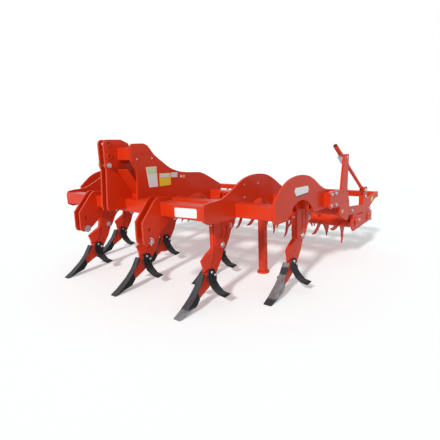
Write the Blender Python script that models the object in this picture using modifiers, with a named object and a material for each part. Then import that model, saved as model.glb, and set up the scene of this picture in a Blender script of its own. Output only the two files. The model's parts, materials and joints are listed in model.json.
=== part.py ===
"""Seven-tine subsoiler with a double spiked roller, modelled piece by piece.

Metres, +Z up, +X the way it is towed, +Y its left side. Places along X are
first written from the tips of the front tines; SHIFT_X then moves every piece
so that the origin is on the ground under the middle of the machine.
"""
import math

import bmesh
import bpy
from mathutils import Matrix, Vector

# Driving dimensions
GAP = 0.0003                    # between two pieces that touch
PIN_PLAY = 0.0006               # round a pin in its hole
ROUND, COARSE = 14, 8           # sides of a pin, and of a bolt
FRONT_END, REAR_END = 0.002, -2.895
SHIFT_X = -(FRONT_END + REAR_END) / 2
TINE_PITCH = 0.43               # between neighbouring tines, across
ROWS = {                        # X of the row's tips, the tube that carries it
    "front": (0.0, "middle_tube"),
    "rear": (-0.65, "rear_tube"),
}
TINES = (                       # name, place across in pitches, row
    ("1", -3, "rear"), ("2", -2, "front"), ("3", -1, "rear"), ("4", 0, "front"),
    ("5", 1, "rear"), ("6", 2, "front"), ("7", 3, "rear"),
)
SIDES = (("left", 1), ("right", -1))

# Fore-and-aft plates of the frame: inner and outer face
SPINE_Y = (0.205, 0.225)
ARCH_Y = (1.004, 1.024)
OUTER_Y = (1.393, 1.413)
CUT_OUT = (-0.965, 0.668, 0.200)        # X, Z, radius of the half-round opening
OUTER_CUT_OUT = (-1.0275, 0.602, 0.2625)
FRAME_BOTTOM, OUTER_BOTTOM = 0.745, 0.720

# Square tubes across the frame: front face, rear face, low, high, half length
TUBES = {
    "front_tube": (-0.205, -0.325, 0.778, 0.898, ARCH_Y[0] - GAP),
    "middle_tube": (-0.605, -0.725, 0.745, 0.865, OUTER_Y[0] - GAP),
    "rear_tube": (-1.190, -1.310, 0.750, 0.870, OUTER_Y[0] - GAP),
}
TUBE_EDGE, TUBE_WALL = 0.010, 0.010

# Headstock
CENTRE_Y = (0.029, 0.049)
CROSS_TUBE = (-0.165, -0.275, 1.250, 1.360)
PIN_HOLES = ((-0.071, 1.401), (-0.072, 1.294), (-0.054, 1.214))
TOP_PIN_R, BOSS_R, BOSS_STAND = 0.0125, 0.027, 0.007

# Lower link brackets
CHEEK_Y = ((0.427, 0.447), (0.515, 0.535))
LOWER_PIN = (-0.057, 0.592, 0.014)
LOWER_HOLE = (-0.065, 0.691, 0.0145)

# Roller: its side frame runs inside the bracket, and each adjuster inside the mast
PIVOT = (-1.761, 0.650)
PIVOT_TUBE_R, PIVOT_BORE_R, PIVOT_PIN_R = 0.045, 0.034, 0.0148
BRACKET_STAND, CARRIER_PLATE, RUN_GAP = 0.041, 0.020, 0.005
BRACKET_Y = (OUTER_Y[1] + BRACKET_STAND, OUTER_Y[1] + BRACKET_STAND + CARRIER_PLATE)
MAST_Y = (BRACKET_Y[0] - RUN_GAP, BRACKET_Y[1] - 0.001)
ARM_Y = (MAST_Y[0] - CARRIER_PLATE, MAST_Y[0])
BARREL_R, BORE_R, STRUT_R = 0.0215, 0.0184, 0.018
BARREL_UP, BARREL_DOWN = 0.212, 0.150
BARREL_GAP = 0.0055                     # between an adjuster's barrel and the mast
ADJUSTER_Y = MAST_Y[0] - BARREL_GAP - BARREL_R
TRUNNION = (-1.850, 1.183)
ROD_EYE = (-2.450, 0.780)
EYE_RING_R, EYE_HOLE_R, EYE_PIN_R = 0.031, 0.0195, 0.012
EYE_HALF, EAR_GAP, EAR = 0.011, 0.0035, 0.012   # half the rod's eye, its ears beside it
ROTOR_AXES = {"front_rotor": (-2.217, 0.455), "rear_rotor": (-2.587, 0.460)}
RING_PITCH, RING_MARGIN = 0.23, 0.10    # between rings of claws; from the last to the end
DRUM_R, DRUM_WALL, SHAFT_R = 0.068, 0.010, 0.020
DRUM_HALF = ARM_Y[0] - 0.061
REAR_BAR = (-2.825, -2.895, 0.645, 0.715)

# Parking legs
LEG_X, LEG_Y, LEG_DEPTH, LEG_WIDTH, LEG_TOP = -1.345, 0.790, 0.050, 0.080, 0.960
LEG_PLAY = 0.001

# Paints and metals: colour, metallic, roughness
FINISHES = {
    "red": ((0.60, 0.018, 0.004, 1), 0.0, 0.30),
    "black": ((0.022, 0.022, 0.024, 1), 0.2, 0.50),
    "zinc": ((0.55, 0.55, 0.56, 1), 1.0, 0.35),
}


def collection(name, hidden=False):
    made = bpy.data.collections.new(name)
    bpy.context.scene.collection.children.link(made)
    made.hide_render = hidden
    return made


def clear():
    for thing in list(bpy.data.objects):
        bpy.data.objects.remove(thing)
    for old in list(bpy.data.collections):
        bpy.data.collections.remove(old)


clear()
PARTS = collection("subsoiler")
OPERANDS = collection("cutters", hidden=True)


def add(mesh, name="operand"):
    thing = bpy.data.objects.new(name, mesh)
    OPERANDS.objects.link(thing)
    thing.hide_render = True
    thing.display_type = "WIRE"
    return thing


def freeze(thing):
    """Apply the modifiers of a mesh or curve object and return a mesh object."""
    bpy.context.view_layer.update()
    seen = thing.evaluated_get(bpy.context.evaluated_depsgraph_get())
    mesh = bpy.data.meshes.new_from_object(seen)
    mesh.transform(thing.matrix_world)
    shape = bmesh.new()
    shape.from_mesh(mesh)
    bmesh.ops.remove_doubles(shape, verts=shape.verts, dist=1e-5)
    bmesh.ops.recalc_face_normals(shape, faces=shape.faces)
    shape.to_mesh(mesh)
    shape.free()
    bpy.data.objects.remove(thing)
    return add(mesh)


def combine(base, pieces, operation, solver="EXACT"):
    for piece in pieces:
        step = base.modifiers.new("combine", "BOOLEAN")
        step.operation, step.solver, step.object = operation, solver, piece
    done = freeze(base)
    for piece in pieces:
        bpy.data.objects.remove(piece)
    return done


def fuse(base, *pieces):
    return combine(base, pieces, "UNION")


def cut(base, *pieces):
    return combine(base, pieces, "DIFFERENCE")


def round_edges(thing, width, segments=1, angle=30):
    step = thing.modifiers.new("round", "BEVEL")
    step.width, step.segments, step.limit_method = width, segments, "ANGLE"
    step.angle_limit = math.radians(angle)
    return freeze(thing)


def box(x0, x1, y0, y1, z0, z1):
    shape = bmesh.new()
    bmesh.ops.create_cube(shape, size=1.0)
    size = Vector((abs(x1 - x0), abs(y1 - y0), abs(z1 - z0)))
    centre = Vector((x0 + x1, y0 + y1, z0 + z1)) / 2
    for corner in shape.verts:
        corner.co = Vector(a * b for a, b in zip(corner.co, size)) + centre
    mesh = bpy.data.meshes.new("box")
    shape.to_mesh(mesh)
    shape.free()
    return add(mesh)


def rod(start, end, radius, sides=ROUND):
    """A round bar from one point to another."""
    start, end = Vector(start), Vector(end)
    along = end - start
    shape = bmesh.new()
    bmesh.ops.create_cone(shape, cap_ends=True, segments=sides, radius1=radius,
                          radius2=radius, depth=along.length)
    turn = along.to_track_quat("Z", "Y").to_matrix().to_4x4()
    bmesh.ops.transform(shape, matrix=Matrix.Translation((start + end) / 2) @ turn,
                        verts=shape.verts)
    mesh = bpy.data.meshes.new("rod")
    shape.to_mesh(mesh)
    shape.free()
    return add(mesh)


def cross_rod(place, y0, y1, radius, sides=ROUND):
    return rod((place[0], y0, place[1]), (place[0], y1, place[1]), radius, sides)


def circle(x, z, radius, sides=ROUND):
    return arc(x, z, radius, 0, 360 - 360 / sides, sides - 1)


def arc(x, z, radius, start, end, steps):
    """Points on an arc in the XZ plane; degrees run from +X towards +Z."""
    angles = [math.radians(start + (end - start) * i / steps) for i in range(steps + 1)]
    return [(x + radius * math.cos(a), z + radius * math.sin(a)) for a in angles]


def flowing(points, steps=2):
    """A smooth curve through the points (Catmull-Rom)."""
    curve = []
    for i in range(len(points) - 1):
        p0, p1 = points[max(i - 1, 0)], points[i]
        p2, p3 = points[i + 1], points[min(i + 2, len(points) - 1)]
        for k in range(steps):
            t = k / steps
            curve.append(tuple(
                0.5 * (2 * b + (c - a) * t + (2 * a - 5 * b + 4 * c - d) * t * t
                       + (3 * b - a - 3 * c + d) * t ** 3)
                for a, b, c, d in zip(p0, p1, p2, p3)))
    return curve + [points[-1]]


def plate(outline, y0, y1, holes=()):
    """A flat plate with its outline in X and Z, between two places in Y."""
    curve = bpy.data.curves.new("outline", "CURVE")
    curve.dimensions, curve.fill_mode = "2D", "BOTH"
    curve.extrude = abs(y1 - y0) / 2
    for loop in (outline, *holes):
        spline = curve.splines.new("POLY")
        spline.points.add(len(loop) - 1)
        spline.use_cyclic_u = True
        for point, (x, z) in zip(spline.points, loop):
            point.co = (x, z, 0, 1)
    thing = bpy.data.objects.new("outline", curve)
    OPERANDS.objects.link(thing)
    thing.matrix_world = (Matrix.Translation((0, (y0 + y1) / 2, 0))
                          @ Matrix.Rotation(math.pi / 2, 4, "X"))
    return freeze(thing)


def mirrored(thing):
    """The same shape on the other side of the centre plane."""
    mesh = thing.data.copy()
    mesh.transform(Matrix.Scale(-1, 4, (0, 1, 0)))
    mesh.flip_normals()
    return add(mesh)


def finish(thing, name, kind, origin=(0, 0, 0)):
    """Name a piece, give it its paint and put its origin where it turns."""
    colour, metallic, roughness = FINISHES[kind]
    material = bpy.data.materials.new(name)
    material.use_nodes = True
    surface = material.node_tree.nodes["Principled BSDF"]
    surface.inputs["Base Color"].default_value = colour
    surface.inputs["Metallic"].default_value = metallic
    surface.inputs["Roughness"].default_value = roughness
    thing.data.shade_smooth()
    thing.data.set_sharp_from_angle(angle=math.radians(30))
    thing.data.materials.clear()
    thing.data.materials.append(material)
    thing.data.transform(Matrix.Translation(-Vector(origin)))
    thing.location = Vector(origin) + Vector((SHIFT_X, 0, 0))
    thing.name = thing.data.name = name
    OPERANDS.objects.unlink(thing)
    PARTS.objects.link(thing)
    thing.hide_render = False
    thing.display_type = "TEXTURED"
    return thing


def pair(thing, name, kind, origin=(0, 0, 0)):
    """Finish a left-hand piece and its mirror image."""
    other = mirrored(thing)
    finish(thing, name + "_left", kind, origin)
    finish(other, name + "_right", kind, (origin[0], -origin[1], origin[2]))


def over_tube(name, bottom):
    """Outline points that step up over a cross tube, from its rear to its front."""
    front, rear, low, high, half = TUBES[name]
    return [(rear - GAP, bottom), (rear - GAP, high + GAP),
            (front + GAP, high + GAP), (front + GAP, bottom)]


def opening(cut_out, bottom, steps=10):
    """The half-round opening in a plate's lower edge, from its rear to its front."""
    x, z, radius = cut_out
    low = math.degrees(math.asin((bottom - z) / radius))
    return arc(x, z, radius, 180 - low, low, steps)


# Frame

def square_tube(x0, x1, half, z0, z1, edge, wall):
    """A square tube across the machine, open at both ends."""
    x0, x1 = min(x0, x1), max(x0, x1)
    corners = ((x1 - edge, z1 - edge, 0), (x0 + edge, z1 - edge, 90),
               (x0 + edge, z0 + edge, 180), (x1 - edge, z0 + edge, 270))
    outside = [point for x, z, start in corners
               for point in arc(x, z, edge, start, start + 90, 2)]
    inside = [(x0 + wall, z0 + wall), (x1 - wall, z0 + wall),
              (x1 - wall, z1 - wall), (x0 + wall, z1 - wall)]
    return plate(outside, -half, half, holes=[inside])


def cross_tube(name):
    front, rear, low, high, half = TUBES[name]
    return square_tube(rear, front, half, low, high, TUBE_EDGE, TUBE_WALL)


def leg_socket(side):
    front, rear, low, high, half = TUBES["rear_tube"]
    y = side * LEG_Y
    wide = LEG_WIDTH / 2 + LEG_PLAY
    deep = LEG_DEPTH / 2 + LEG_PLAY
    wall = 0.010
    return (box(LEG_X - deep - wall, rear + 0.0043, y - wide - wall, y + wide + wall,
                low - 0.03, high + 0.02),
            box(LEG_X - deep, LEG_X + deep, y - wide, y + wide, low - 0.1, high + 0.1))


def cross_tubes():
    finish(cross_tube("front_tube"), "front_tube", "red")
    finish(cross_tube("middle_tube"), "middle_tube", "red")
    sockets = [leg_socket(side) for name, side in SIDES]
    sleeves = [cut(sleeve, bore) for sleeve, bore in sockets]
    tube = combine(cross_tube("rear_tube"), sleeves, "UNION", "MANIFOLD")
    finish(tube, "rear_tube", "red")


def spine_plates():
    front, rear, low, high, half = TUBES["front_tube"]
    top = flowing([
        (-0.308, 1.393), (-0.362, 1.373), (-0.421, 1.302), (-0.499, 1.227),
        (-0.608, 1.160), (-0.744, 1.109), (-0.911, 1.088), (-1.039, 1.078),
        (-1.141, 1.039), (-1.263, 0.976), (-1.350, 0.930)])
    outline = [
        (front + GAP, high + GAP), (-0.223, 1.083), (-0.218, 1.152), (-0.171, 1.247),
        (-0.168, 1.367), (-0.193, 1.393), *top, (-1.366, 0.912), (-1.366, 0.775),
        (-1.345, FRAME_BOTTOM), *over_tube("rear_tube", FRAME_BOTTOM),
        *opening(CUT_OUT, FRAME_BOTTOM), *over_tube("middle_tube", FRAME_BOTTOM),
        (rear - 0.030, FRAME_BOTTOM), (rear - GAP, FRAME_BOTTOM + 0.02),
        (rear - GAP, high + GAP)]
    pair(plate(outline, *SPINE_Y), "spine_plate", "red")


def arch_plates():
    top = flowing([
        (-0.288, 0.920), (-0.393, 0.923), (-0.479, 0.943), (-0.609, 1.006),
        (-0.719, 1.059), (-0.846, 1.085), (-0.980, 1.086), (-1.106, 1.062),
        (-1.238, 1.000), (-1.369, 0.921), (-1.430, 0.905)])
    outline = [
        (-0.205, 0.772), (-0.205, 0.886), (-0.225, 0.912), *top, (-1.455, 0.885),
        (-1.455, 0.775), (-1.430, FRAME_BOTTOM), *over_tube("rear_tube", FRAME_BOTTOM),
        *opening(CUT_OUT, FRAME_BOTTOM), *over_tube("middle_tube", FRAME_BOTTOM),
        (-0.256, FRAME_BOTTOM)]
    pair(plate(outline, *ARCH_Y), "arch_plate", "red")


def outer_plates():
    top = flowing([
        (-0.600, 0.905), (-0.673, 0.964), (-0.742, 1.016), (-0.833, 1.057),
        (-0.943, 1.076), (-1.059, 1.077), (-1.182, 1.054), (-1.286, 1.008),
        (-1.378, 0.954), (-1.473, 0.914), (-1.572, 0.887)])
    outline = [
        (-0.600, OUTER_BOTTOM), *top, (-1.590, 0.870), (-1.590, 0.745),
        (-1.570, OUTER_BOTTOM), *opening(OUTER_CUT_OUT, OUTER_BOTTOM)]
    pair(plate(outline, *OUTER_Y), "outer_plate", "red")


# Headstock

def centre_plates():
    front, rear, low, high, half = TUBES["front_tube"]
    outline = [
        (-0.019, low + 0.035), (-0.009, 0.859), (-0.034, 1.183), (-0.026, 1.190),
        (-0.026, 1.397), (-0.032, 1.420), (-0.052, 1.436), (-0.206, 1.433), (-0.283, 1.398),
        (-0.300, 1.360), (-0.300, 1.235), (-0.130, 1.175), (-0.285, 0.940),
        (-0.285, high + GAP), (front + GAP, high + GAP), (front + GAP, low + 0.035)]
    x0, x1, z0, z1 = CROSS_TUBE
    window = [(x0 + GAP, z0 - GAP), (x0 + GAP, z1 + GAP),
              (x1 - GAP, z1 + GAP), (x1 - GAP, z0 - GAP)]
    inner, outer = CENTRE_Y
    bosses = [cross_rod(hole, inner + 0.004, outer + BOSS_STAND, BOSS_R)
              for hole in PIN_HOLES]
    drills = [cross_rod(hole, inner - 0.05, outer + 0.05, TOP_PIN_R + PIN_PLAY)
              for hole in PIN_HOLES]
    body = cut(fuse(plate(outline, inner, outer, holes=[window]), *bosses), *drills)
    pair(body, "headstock_plate", "red")


def headstock_cross_pieces():
    x0, x1, z0, z1 = CROSS_TUBE
    reach = SPINE_Y[0] - GAP
    finish(square_tube(x0, x1, reach, z0, z1, 0.008, 0.008), "top_cross_tube", "red")
    brace = plate([(-0.1351, 1.1683), (-0.1468, 1.1763), (-0.2995, 0.9450),
                   (-0.2995, 0.8985), (-0.2855, 0.8985), (-0.2855, 0.9402)],
                  -reach, reach)
    finish(brace, "headstock_brace_plate", "red")
    flange = CENTRE_Y[1] + BOSS_STAND + GAP
    pin = fuse(cross_rod(PIN_HOLES[2], -flange - 0.022, flange + 0.022, TOP_PIN_R),
               cross_rod(PIN_HOLES[2], flange, flange + 0.015, 0.022))
    finish(pin, "top_link_pin", "zinc")


def lower_link_brackets():
    front, rear, low, high, half = TUBES["front_tube"]
    outline = [
        (-0.339, 0.926), (-0.180, 0.947), (-0.142, 0.921), (0.000, 0.758),
        (FRONT_END, 0.605), (-0.005, 0.578), (-0.020, 0.565), (-0.060, 0.558),
        (-0.140, 0.609), (-0.304, 0.745), (-0.304, low - GAP), (front + GAP, low - GAP),
        (front + GAP, high + GAP), (-0.339, high + GAP)]
    holes = [circle(LOWER_PIN[0], LOWER_PIN[1], LOWER_PIN[2] + PIN_PLAY), circle(*LOWER_HOLE)]
    inner, outer = (plate(outline, *faces, holes=holes) for faces in CHEEK_Y)
    tie = box(-0.290, -0.200, CHEEK_Y[0][1] - 0.005, CHEEK_Y[1][0] + 0.005, 0.728, 0.742)
    pair(fuse(inner, outer, tie), "lower_link_bracket", "red")
    head = cross_rod(LOWER_PIN, CHEEK_Y[0][0] - 0.026, CHEEK_Y[0][0] - GAP, 0.034)
    shaft = cross_rod(LOWER_PIN, CHEEK_Y[0][0] - 0.010, CHEEK_Y[1][1] + 0.030, LOWER_PIN[2])
    pair(fuse(head, shaft), "lower_link_pin", "zinc")


# Tines: outlines in X and Z from the tine's own tip

SHANK_HALF, CLAMP_OUTER = 0.0175, 0.030
CLAMP_INNER = SHANK_HALF + GAP
SHANK_BOLT, CLAMP_BOLT = (-0.570, 0.497), (-0.692, 0.647)   # through the shank; behind it
POCKETS = ((-0.576, -0.500, 0.555), (-0.640, -0.581, 0.558))    # rear, front, bottom
POCKET_TOP, POCKET_DEPTH = 0.735, 0.006
WING_BOLTS = ((-0.410, 0.290), (-0.450, 0.255))
CHISEL_SEAT = ((-0.333, 0.287), (-0.3125, 0.252), (-0.265, 0.202), (-0.2363, 0.170),
               (-0.2340, 0.1545), (-0.2515, 0.100))     # where the point lies on the shank
BOLT_R, WING_BOLT_R = 0.012, 0.008


def shank():
    outline = [
        (-0.466, 0.735), (-0.466, 0.525), (-0.452, 0.470), (-0.433, 0.410),
        (-0.397, 0.307), (-0.345, 0.292),
        *((x - 0.0006, z - 0.0004) for x, z in CHISEL_SEAT), (-0.275, 0.101),
        (-0.387, 0.157), (-0.488, 0.257), (-0.561, 0.359), (-0.600, 0.450),
        (-0.655, 0.600), (-0.670, 0.700), (-0.650, 0.735)]
    holes = [circle(*SHANK_BOLT, BOLT_R + 0.0015, COARSE)]
    holes += [circle(x, z, WING_BOLT_R + 0.0012, COARSE) for x, z in WING_BOLTS]
    blade = plate(outline, -SHANK_HALF, SHANK_HALF, holes=holes)
    shin = plate([(-0.462, 0.480), (-0.402, 0.452), (-0.314, 0.406), (-0.340, 0.344),
                  (-0.341, 0.303), (-0.410, 0.330), (-0.450, 0.410)], -0.024, 0.024)
    for corner in shin.data.vertices:
        ahead = (corner.co.x + 0.425) / 0.11
        corner.co.y *= 1 - 0.7 * min(max(ahead, 0), 1)
    return fuse(blade, shin)


def pocket(rear, front, bottom, y0, y1):
    """A cutter for a pressed pocket, open at the top and round at the bottom."""
    radius = (front - rear) / 2
    bowl = arc((rear + front) / 2, bottom + radius, radius, 180, 360, 6)
    return plate([(front, POCKET_TOP), (rear, POCKET_TOP), *bowl], y0, y1)


def clamp(row):
    row_x, tube = ROWS[row]
    face = TUBES[tube][0] - row_x + GAP
    low, high = TUBES[tube][2], 0.860
    outline = [
        (-0.475, 0.495), (-0.472, 0.515), (-0.472, 0.820), (-0.480, high), (face, high),
        (face, low - GAP), (-0.760, low - GAP), (-0.760, 0.675), (-0.753, 0.653),
        (-0.733, 0.627), (-0.705, 0.612), (-0.668, 0.569), (-0.625, 0.490),
        (-0.605, 0.466), (-0.583, 0.460), (-0.540, 0.466), (-0.498, 0.478)]
    walls = [plate(outline, side * CLAMP_INNER, side * CLAMP_OUTER) for name, side in SIDES]
    saddle = box(face + 0.001, face + 0.015, -CLAMP_INNER - 0.004, CLAMP_INNER + 0.004,
                 low + 0.001, high - 0.002)
    reach = CLAMP_OUTER + 0.010
    bolts = [cross_rod(place, -reach, reach, BOLT_R, COARSE)
             for place in (SHANK_BOLT, CLAMP_BOLT)]
    pockets = [pocket(*sizes, side * (CLAMP_OUTER - POCKET_DEPTH), side * reach)
               for sizes in POCKETS for name, side in SIDES]
    return fuse(cut(fuse(walls[0], walls[1], saddle), *pockets), *bolts)


def chisel():
    front = [(-0.083, 0.048), (-0.100, 0.061), (-0.182, 0.122), (-0.250, 0.190),
             (-0.295, 0.262), (-0.317, 0.297)]
    back = [*CHISEL_SEAT, (-0.205, 0.050), (-0.110, 0.028), (-0.022, 0.0)]
    blade = plate([(0.0, 0.0), *front, *back], -0.040, 0.040)
    for corner in blade.data.vertices:
        height = min(corner.co.z / 0.297, 1)
        corner.co.y *= 1 - 0.25 * height
    return round_edges(blade, 0.003, 1, 40)


def wings():
    stations = (                # front edge, rear edge: X, Z, distance from centre
        ((-0.385, 0.315, 0.0178), (-0.450, 0.310, 0.0178)),
        ((-0.368, 0.250, 0.0178), (-0.480, 0.235, 0.0178)),
        ((-0.363, 0.205, 0.040), (-0.450, 0.205, 0.042)),
        ((-0.380, 0.150, 0.060), (-0.450, 0.170, 0.070)),
        ((-0.410, 0.100, 0.095), (-0.465, 0.120, 0.110)),
        ((-0.425, 0.085, 0.155), (-0.490, 0.098, 0.160)),
    )
    shape = bmesh.new()
    rows = [[shape.verts.new((x, y, z)) for x, z, y in station] for station in stations]
    for above, below in zip(rows, rows[1:]):
        shape.faces.new((above[0], above[1], below[1], below[0]))
    mesh = bpy.data.meshes.new("wing")
    shape.to_mesh(mesh)
    shape.free()
    blade = add(mesh)
    skin = blade.modifiers.new("thickness", "SOLIDIFY")
    skin.thickness, skin.offset = 0.012, 0.0
    bpy.context.view_layer.update()
    blade = freeze(blade)
    inner = min(corner.co.y for corner in blade.data.vertices)
    blade.data.transform(Matrix.Translation((0, SHANK_HALF + GAP - inner, 0)))
    other = mirrored(blade)
    bolts = [cross_rod(place, -0.034, 0.034, WING_BOLT_R, COARSE) for place in WING_BOLTS]
    return fuse(blade, other, *bolts)


def tines():
    patterns = {"shank": shank(), "chisel_point": chisel(), "wing_pair": wings()}
    clamps = {row: clamp(row) for row in ROWS}
    for name, pitches, row in TINES:
        place = Vector((ROWS[row][0], pitches * TINE_PITCH, 0))
        for kind, pattern in {**patterns, "shank_clamp": clamps[row]}.items():
            mesh = pattern.data.copy()
            mesh.transform(Matrix.Translation(place))
            colour = "red" if kind.startswith("shank") else "black"
            finish(add(mesh), kind + "_" + name, colour)
    for pattern in (*patterns.values(), *clamps.values()):
        bpy.data.objects.remove(pattern)


# Roller carrier

def roller_brackets():
    y0, y1 = BRACKET_Y
    outline = [
        (-1.460, 0.877), (-1.462, 0.727), (-1.700, 0.706), (-1.704, 0.628),
        (-1.725, 0.612), (-1.803, 0.575), (-1.875, 0.541), (-1.905, 0.545),
        (-1.925, 0.570), (-1.938, 0.620), (-1.940, 0.678), (-1.928, 0.742),
        (-1.888, 0.820), (-1.878, 0.873)]
    mast = [(-1.729, 0.850), (-1.788, 1.195), (-1.800, 1.215), (-1.880, 1.215),
            (-1.892, 1.200), (-1.876, 0.850)]
    hole = circle(*TRUNNION, PIVOT_PIN_R + PIN_PLAY)
    spacer = box(-1.590, -1.457, OUTER_Y[1] + GAP, y0 + 0.004, 0.739, 0.872)
    pin = cross_rod(PIVOT, ARM_Y[0] - 0.02, y0 + 0.004, PIVOT_PIN_R)
    pair(fuse(plate(outline, y0, y1), plate(mast, *MAST_Y, holes=[hole]), spacer, pin),
         "roller_bracket", "red")


def roller_side():
    y0, y1 = ARM_Y
    eye = circle(*PIVOT, PIVOT_PIN_R + PIN_PLAY)
    arm = plate([*arc(*PIVOT, 0.056, -90, 90, 8), (-1.995, 0.662), (-2.312, 0.631),
                 (-2.440, 0.628), (-2.440, 0.540), (-2.312, 0.541), (-1.995, 0.572)],
                y0, y1, holes=[eye])
    upright = box(-2.520, -2.405, ADJUSTER_Y - 0.026, y1 - 0.001, 0.450, 0.725)
    base_plate = plate(
        [(-2.075, 0.441), (-2.090, 0.500), (-2.150, 0.520), (-2.610, 0.544),
         (-2.700, 0.505), (-2.696, 0.408), (-2.140, 0.367)], y0 - 0.001, y1 - 0.002,
        holes=[circle(*axis, SHAFT_R + PIN_PLAY) for axis in ROTOR_AXES.values()])
    tie = box(-2.190, -2.130, y0 - 0.017, y1 - 0.003, 0.500, 0.590)
    slant = plate([(-2.895, 0.645), (-2.895, 0.716), (-2.820, 0.716), (-2.516, 0.668),
                   (-2.430, 0.668), (-2.430, 0.530), (-2.640, 0.530), (-2.640, 0.580),
                   (-2.800, 0.645)], y0 + 0.001, y1 - 0.001)
    x, z = ROD_EYE
    ear = [(x + dx, z + dz) for dx, dz in (
        (-0.065, -0.090), (-0.070, 0.020), (-0.050, 0.038), (0.005, 0.040),
        (0.030, 0.020), (0.032, -0.010), (0.025, -0.090))]
    near, far = EYE_HALF + EAR_GAP, EYE_HALF + EAR_GAP + EAR
    ears = [plate(ear, ADJUSTER_Y + side * near, ADJUSTER_Y + side * far)
            for name, side in SIDES]
    pin = cross_rod(ROD_EYE, ADJUSTER_Y - far - 0.010, ADJUSTER_Y + far + 0.003, EYE_PIN_R)
    pair(fuse(arm, upright, base_plate, tie, slant, *ears, pin), "roller_side", "red",
         (PIVOT[0], 0, PIVOT[1]))


def roller_cross_pieces():
    reach = ARM_Y[0] - GAP
    tube = cross_rod(PIVOT, -reach, reach, PIVOT_TUBE_R, 18)
    bore = cross_rod(PIVOT, -reach - 0.1, reach + 0.1, PIVOT_BORE_R, 18)
    finish(cut(tube, bore), "roller_pivot_tube", "red", (PIVOT[0], 0, PIVOT[1]))
    x0, x1, z0, z1 = REAR_BAR
    bar = square_tube(x0, x1, reach + 0.001, z0, z1, 0.006, 0.005)
    finish(bar, "roller_rear_tube", "red", (PIVOT[0], 0, PIVOT[1]))


CLAW = ((0.050, -0.026), (0.150, -0.020), (0.225, 0.008), (0.272, 0.066),
        (0.210, 0.038), (0.130, 0.025), (0.050, 0.026))


def rotor(name, first_phase, fewer=0):
    """A drum with rings of four claws, each ring turned a step from the last."""
    rings = int(2 * (DRUM_HALF - RING_MARGIN) / RING_PITCH) + 1 - fewer
    x, z = ROTOR_AXES[name]
    drum = cross_rod((x, z), -DRUM_HALF, DRUM_HALF, DRUM_R, 16)
    end = ARM_Y[1] + 0.010
    pieces = [cross_rod((x, z), -end, 0.005 - DRUM_HALF, SHAFT_R),
              cross_rod((x, z), DRUM_HALF - 0.005, end, SHAFT_R)]
    for ring in range(rings):
        y = (ring - (rings - 1) / 2) * RING_PITCH
        for claw in range(4):
            turn = math.radians(first_phase + 22.5 * (ring % 4) + 90 * claw)
            c, s = math.cos(turn), math.sin(turn)
            shape = [(x + a * c - b * s, z + a * s + b * c) for a, b in CLAW]
            pieces.append(plate(shape, y - 0.007, y + 0.007))
    hollow = cross_rod((x, z), DRUM_WALL - DRUM_HALF, DRUM_HALF - DRUM_WALL,
                       DRUM_R - DRUM_WALL, 16)
    drain = cross_rod((x, z + 0.040), -DRUM_HALF - 0.01, DRUM_HALF + 0.01, 0.006, COARSE)
    finish(cut(fuse(drum, *pieces), hollow, drain), name, "red", (x, 0, z))


# Screw adjusters

def adjusters():
    start = Vector((TRUNNION[0], ADJUSTER_Y, TRUNNION[1]))
    eye = Vector((ROD_EYE[0], ADJUSTER_Y, ROD_EYE[1]))
    along = (eye - start).normalized()
    body = rod(start - along * BARREL_UP, start + along * BARREL_DOWN, BARREL_R)
    collar = rod(start - along * 0.030, start + along * 0.030, BARREL_R + 0.004)
    stub = cross_rod(TRUNNION, ADJUSTER_Y + BARREL_R - 0.002, BRACKET_Y[1] - 0.001,
                     PIVOT_PIN_R)
    bore = rod(start - along * (BARREL_UP + 0.1), start + along * (BARREL_DOWN + 0.1),
               BORE_R)
    pair(fuse(cut(fuse(body, collar), bore), stub), "adjuster_barrel", "red", tuple(start))
    strut = rod(start - along * 0.010, eye - along * 0.085, STRUT_R - GAP)
    across = Vector((-along.z, 0, along.x)) * 0.017
    corners = [eye - along * 0.12 + across, eye + across, eye - across,
               eye - along * 0.12 - across]
    tongue = plate([(p.x, p.z) for p in corners], ADJUSTER_Y - 0.010, ADJUSTER_Y + 0.010)
    ring = cross_rod(ROD_EYE, ADJUSTER_Y - EYE_HALF, ADJUSTER_Y + EYE_HALF, EYE_RING_R)
    hole = cross_rod(ROD_EYE, ADJUSTER_Y - 0.05, ADJUSTER_Y + 0.05, EYE_HOLE_R)
    pair(cut(fuse(strut, tongue, ring), hole), "adjuster_rod", "red", tuple(eye))


# Parking legs

def legs():
    deep, wide = LEG_DEPTH / 2, LEG_WIDTH / 2
    post = box(LEG_X - deep, LEG_X + deep, LEG_Y - wide, LEG_Y + wide, 0.010, LEG_TOP)
    foot = rod((LEG_X, LEG_Y, 0), (LEG_X, LEG_Y, 0.020), 0.065, 16)
    holes = [cross_rod((LEG_X, z), LEG_Y - 0.1, LEG_Y + 0.1, 0.010, COARSE)
             for z in (0.13, 0.22, 0.31, 0.40, 0.49)]
    inside = box(LEG_X - deep + 0.006, LEG_X + deep - 0.006, LEG_Y - wide + 0.006,
                 LEG_Y + wide - 0.006, 0.030, LEG_TOP + 0.1)
    pair(cut(fuse(post, foot), inside, *holes), "parking_leg", "red", (LEG_X, LEG_Y, 0))


cross_tubes()
spine_plates()
arch_plates()
outer_plates()
centre_plates()
headstock_cross_pieces()
lower_link_brackets()
tines()
roller_brackets()
roller_side()
roller_cross_pieces()
rotor("front_rotor", 0)
rotor("rear_rotor", 45, fewer=1)
adjusters()
legs()
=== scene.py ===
"""Looks of a seven-tine subsoiler: paint, worn steel, bolts, pins, seams and plates."""
import json
import math
import random

import bmesh
import bpy
from mathutils import Matrix, Vector


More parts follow.
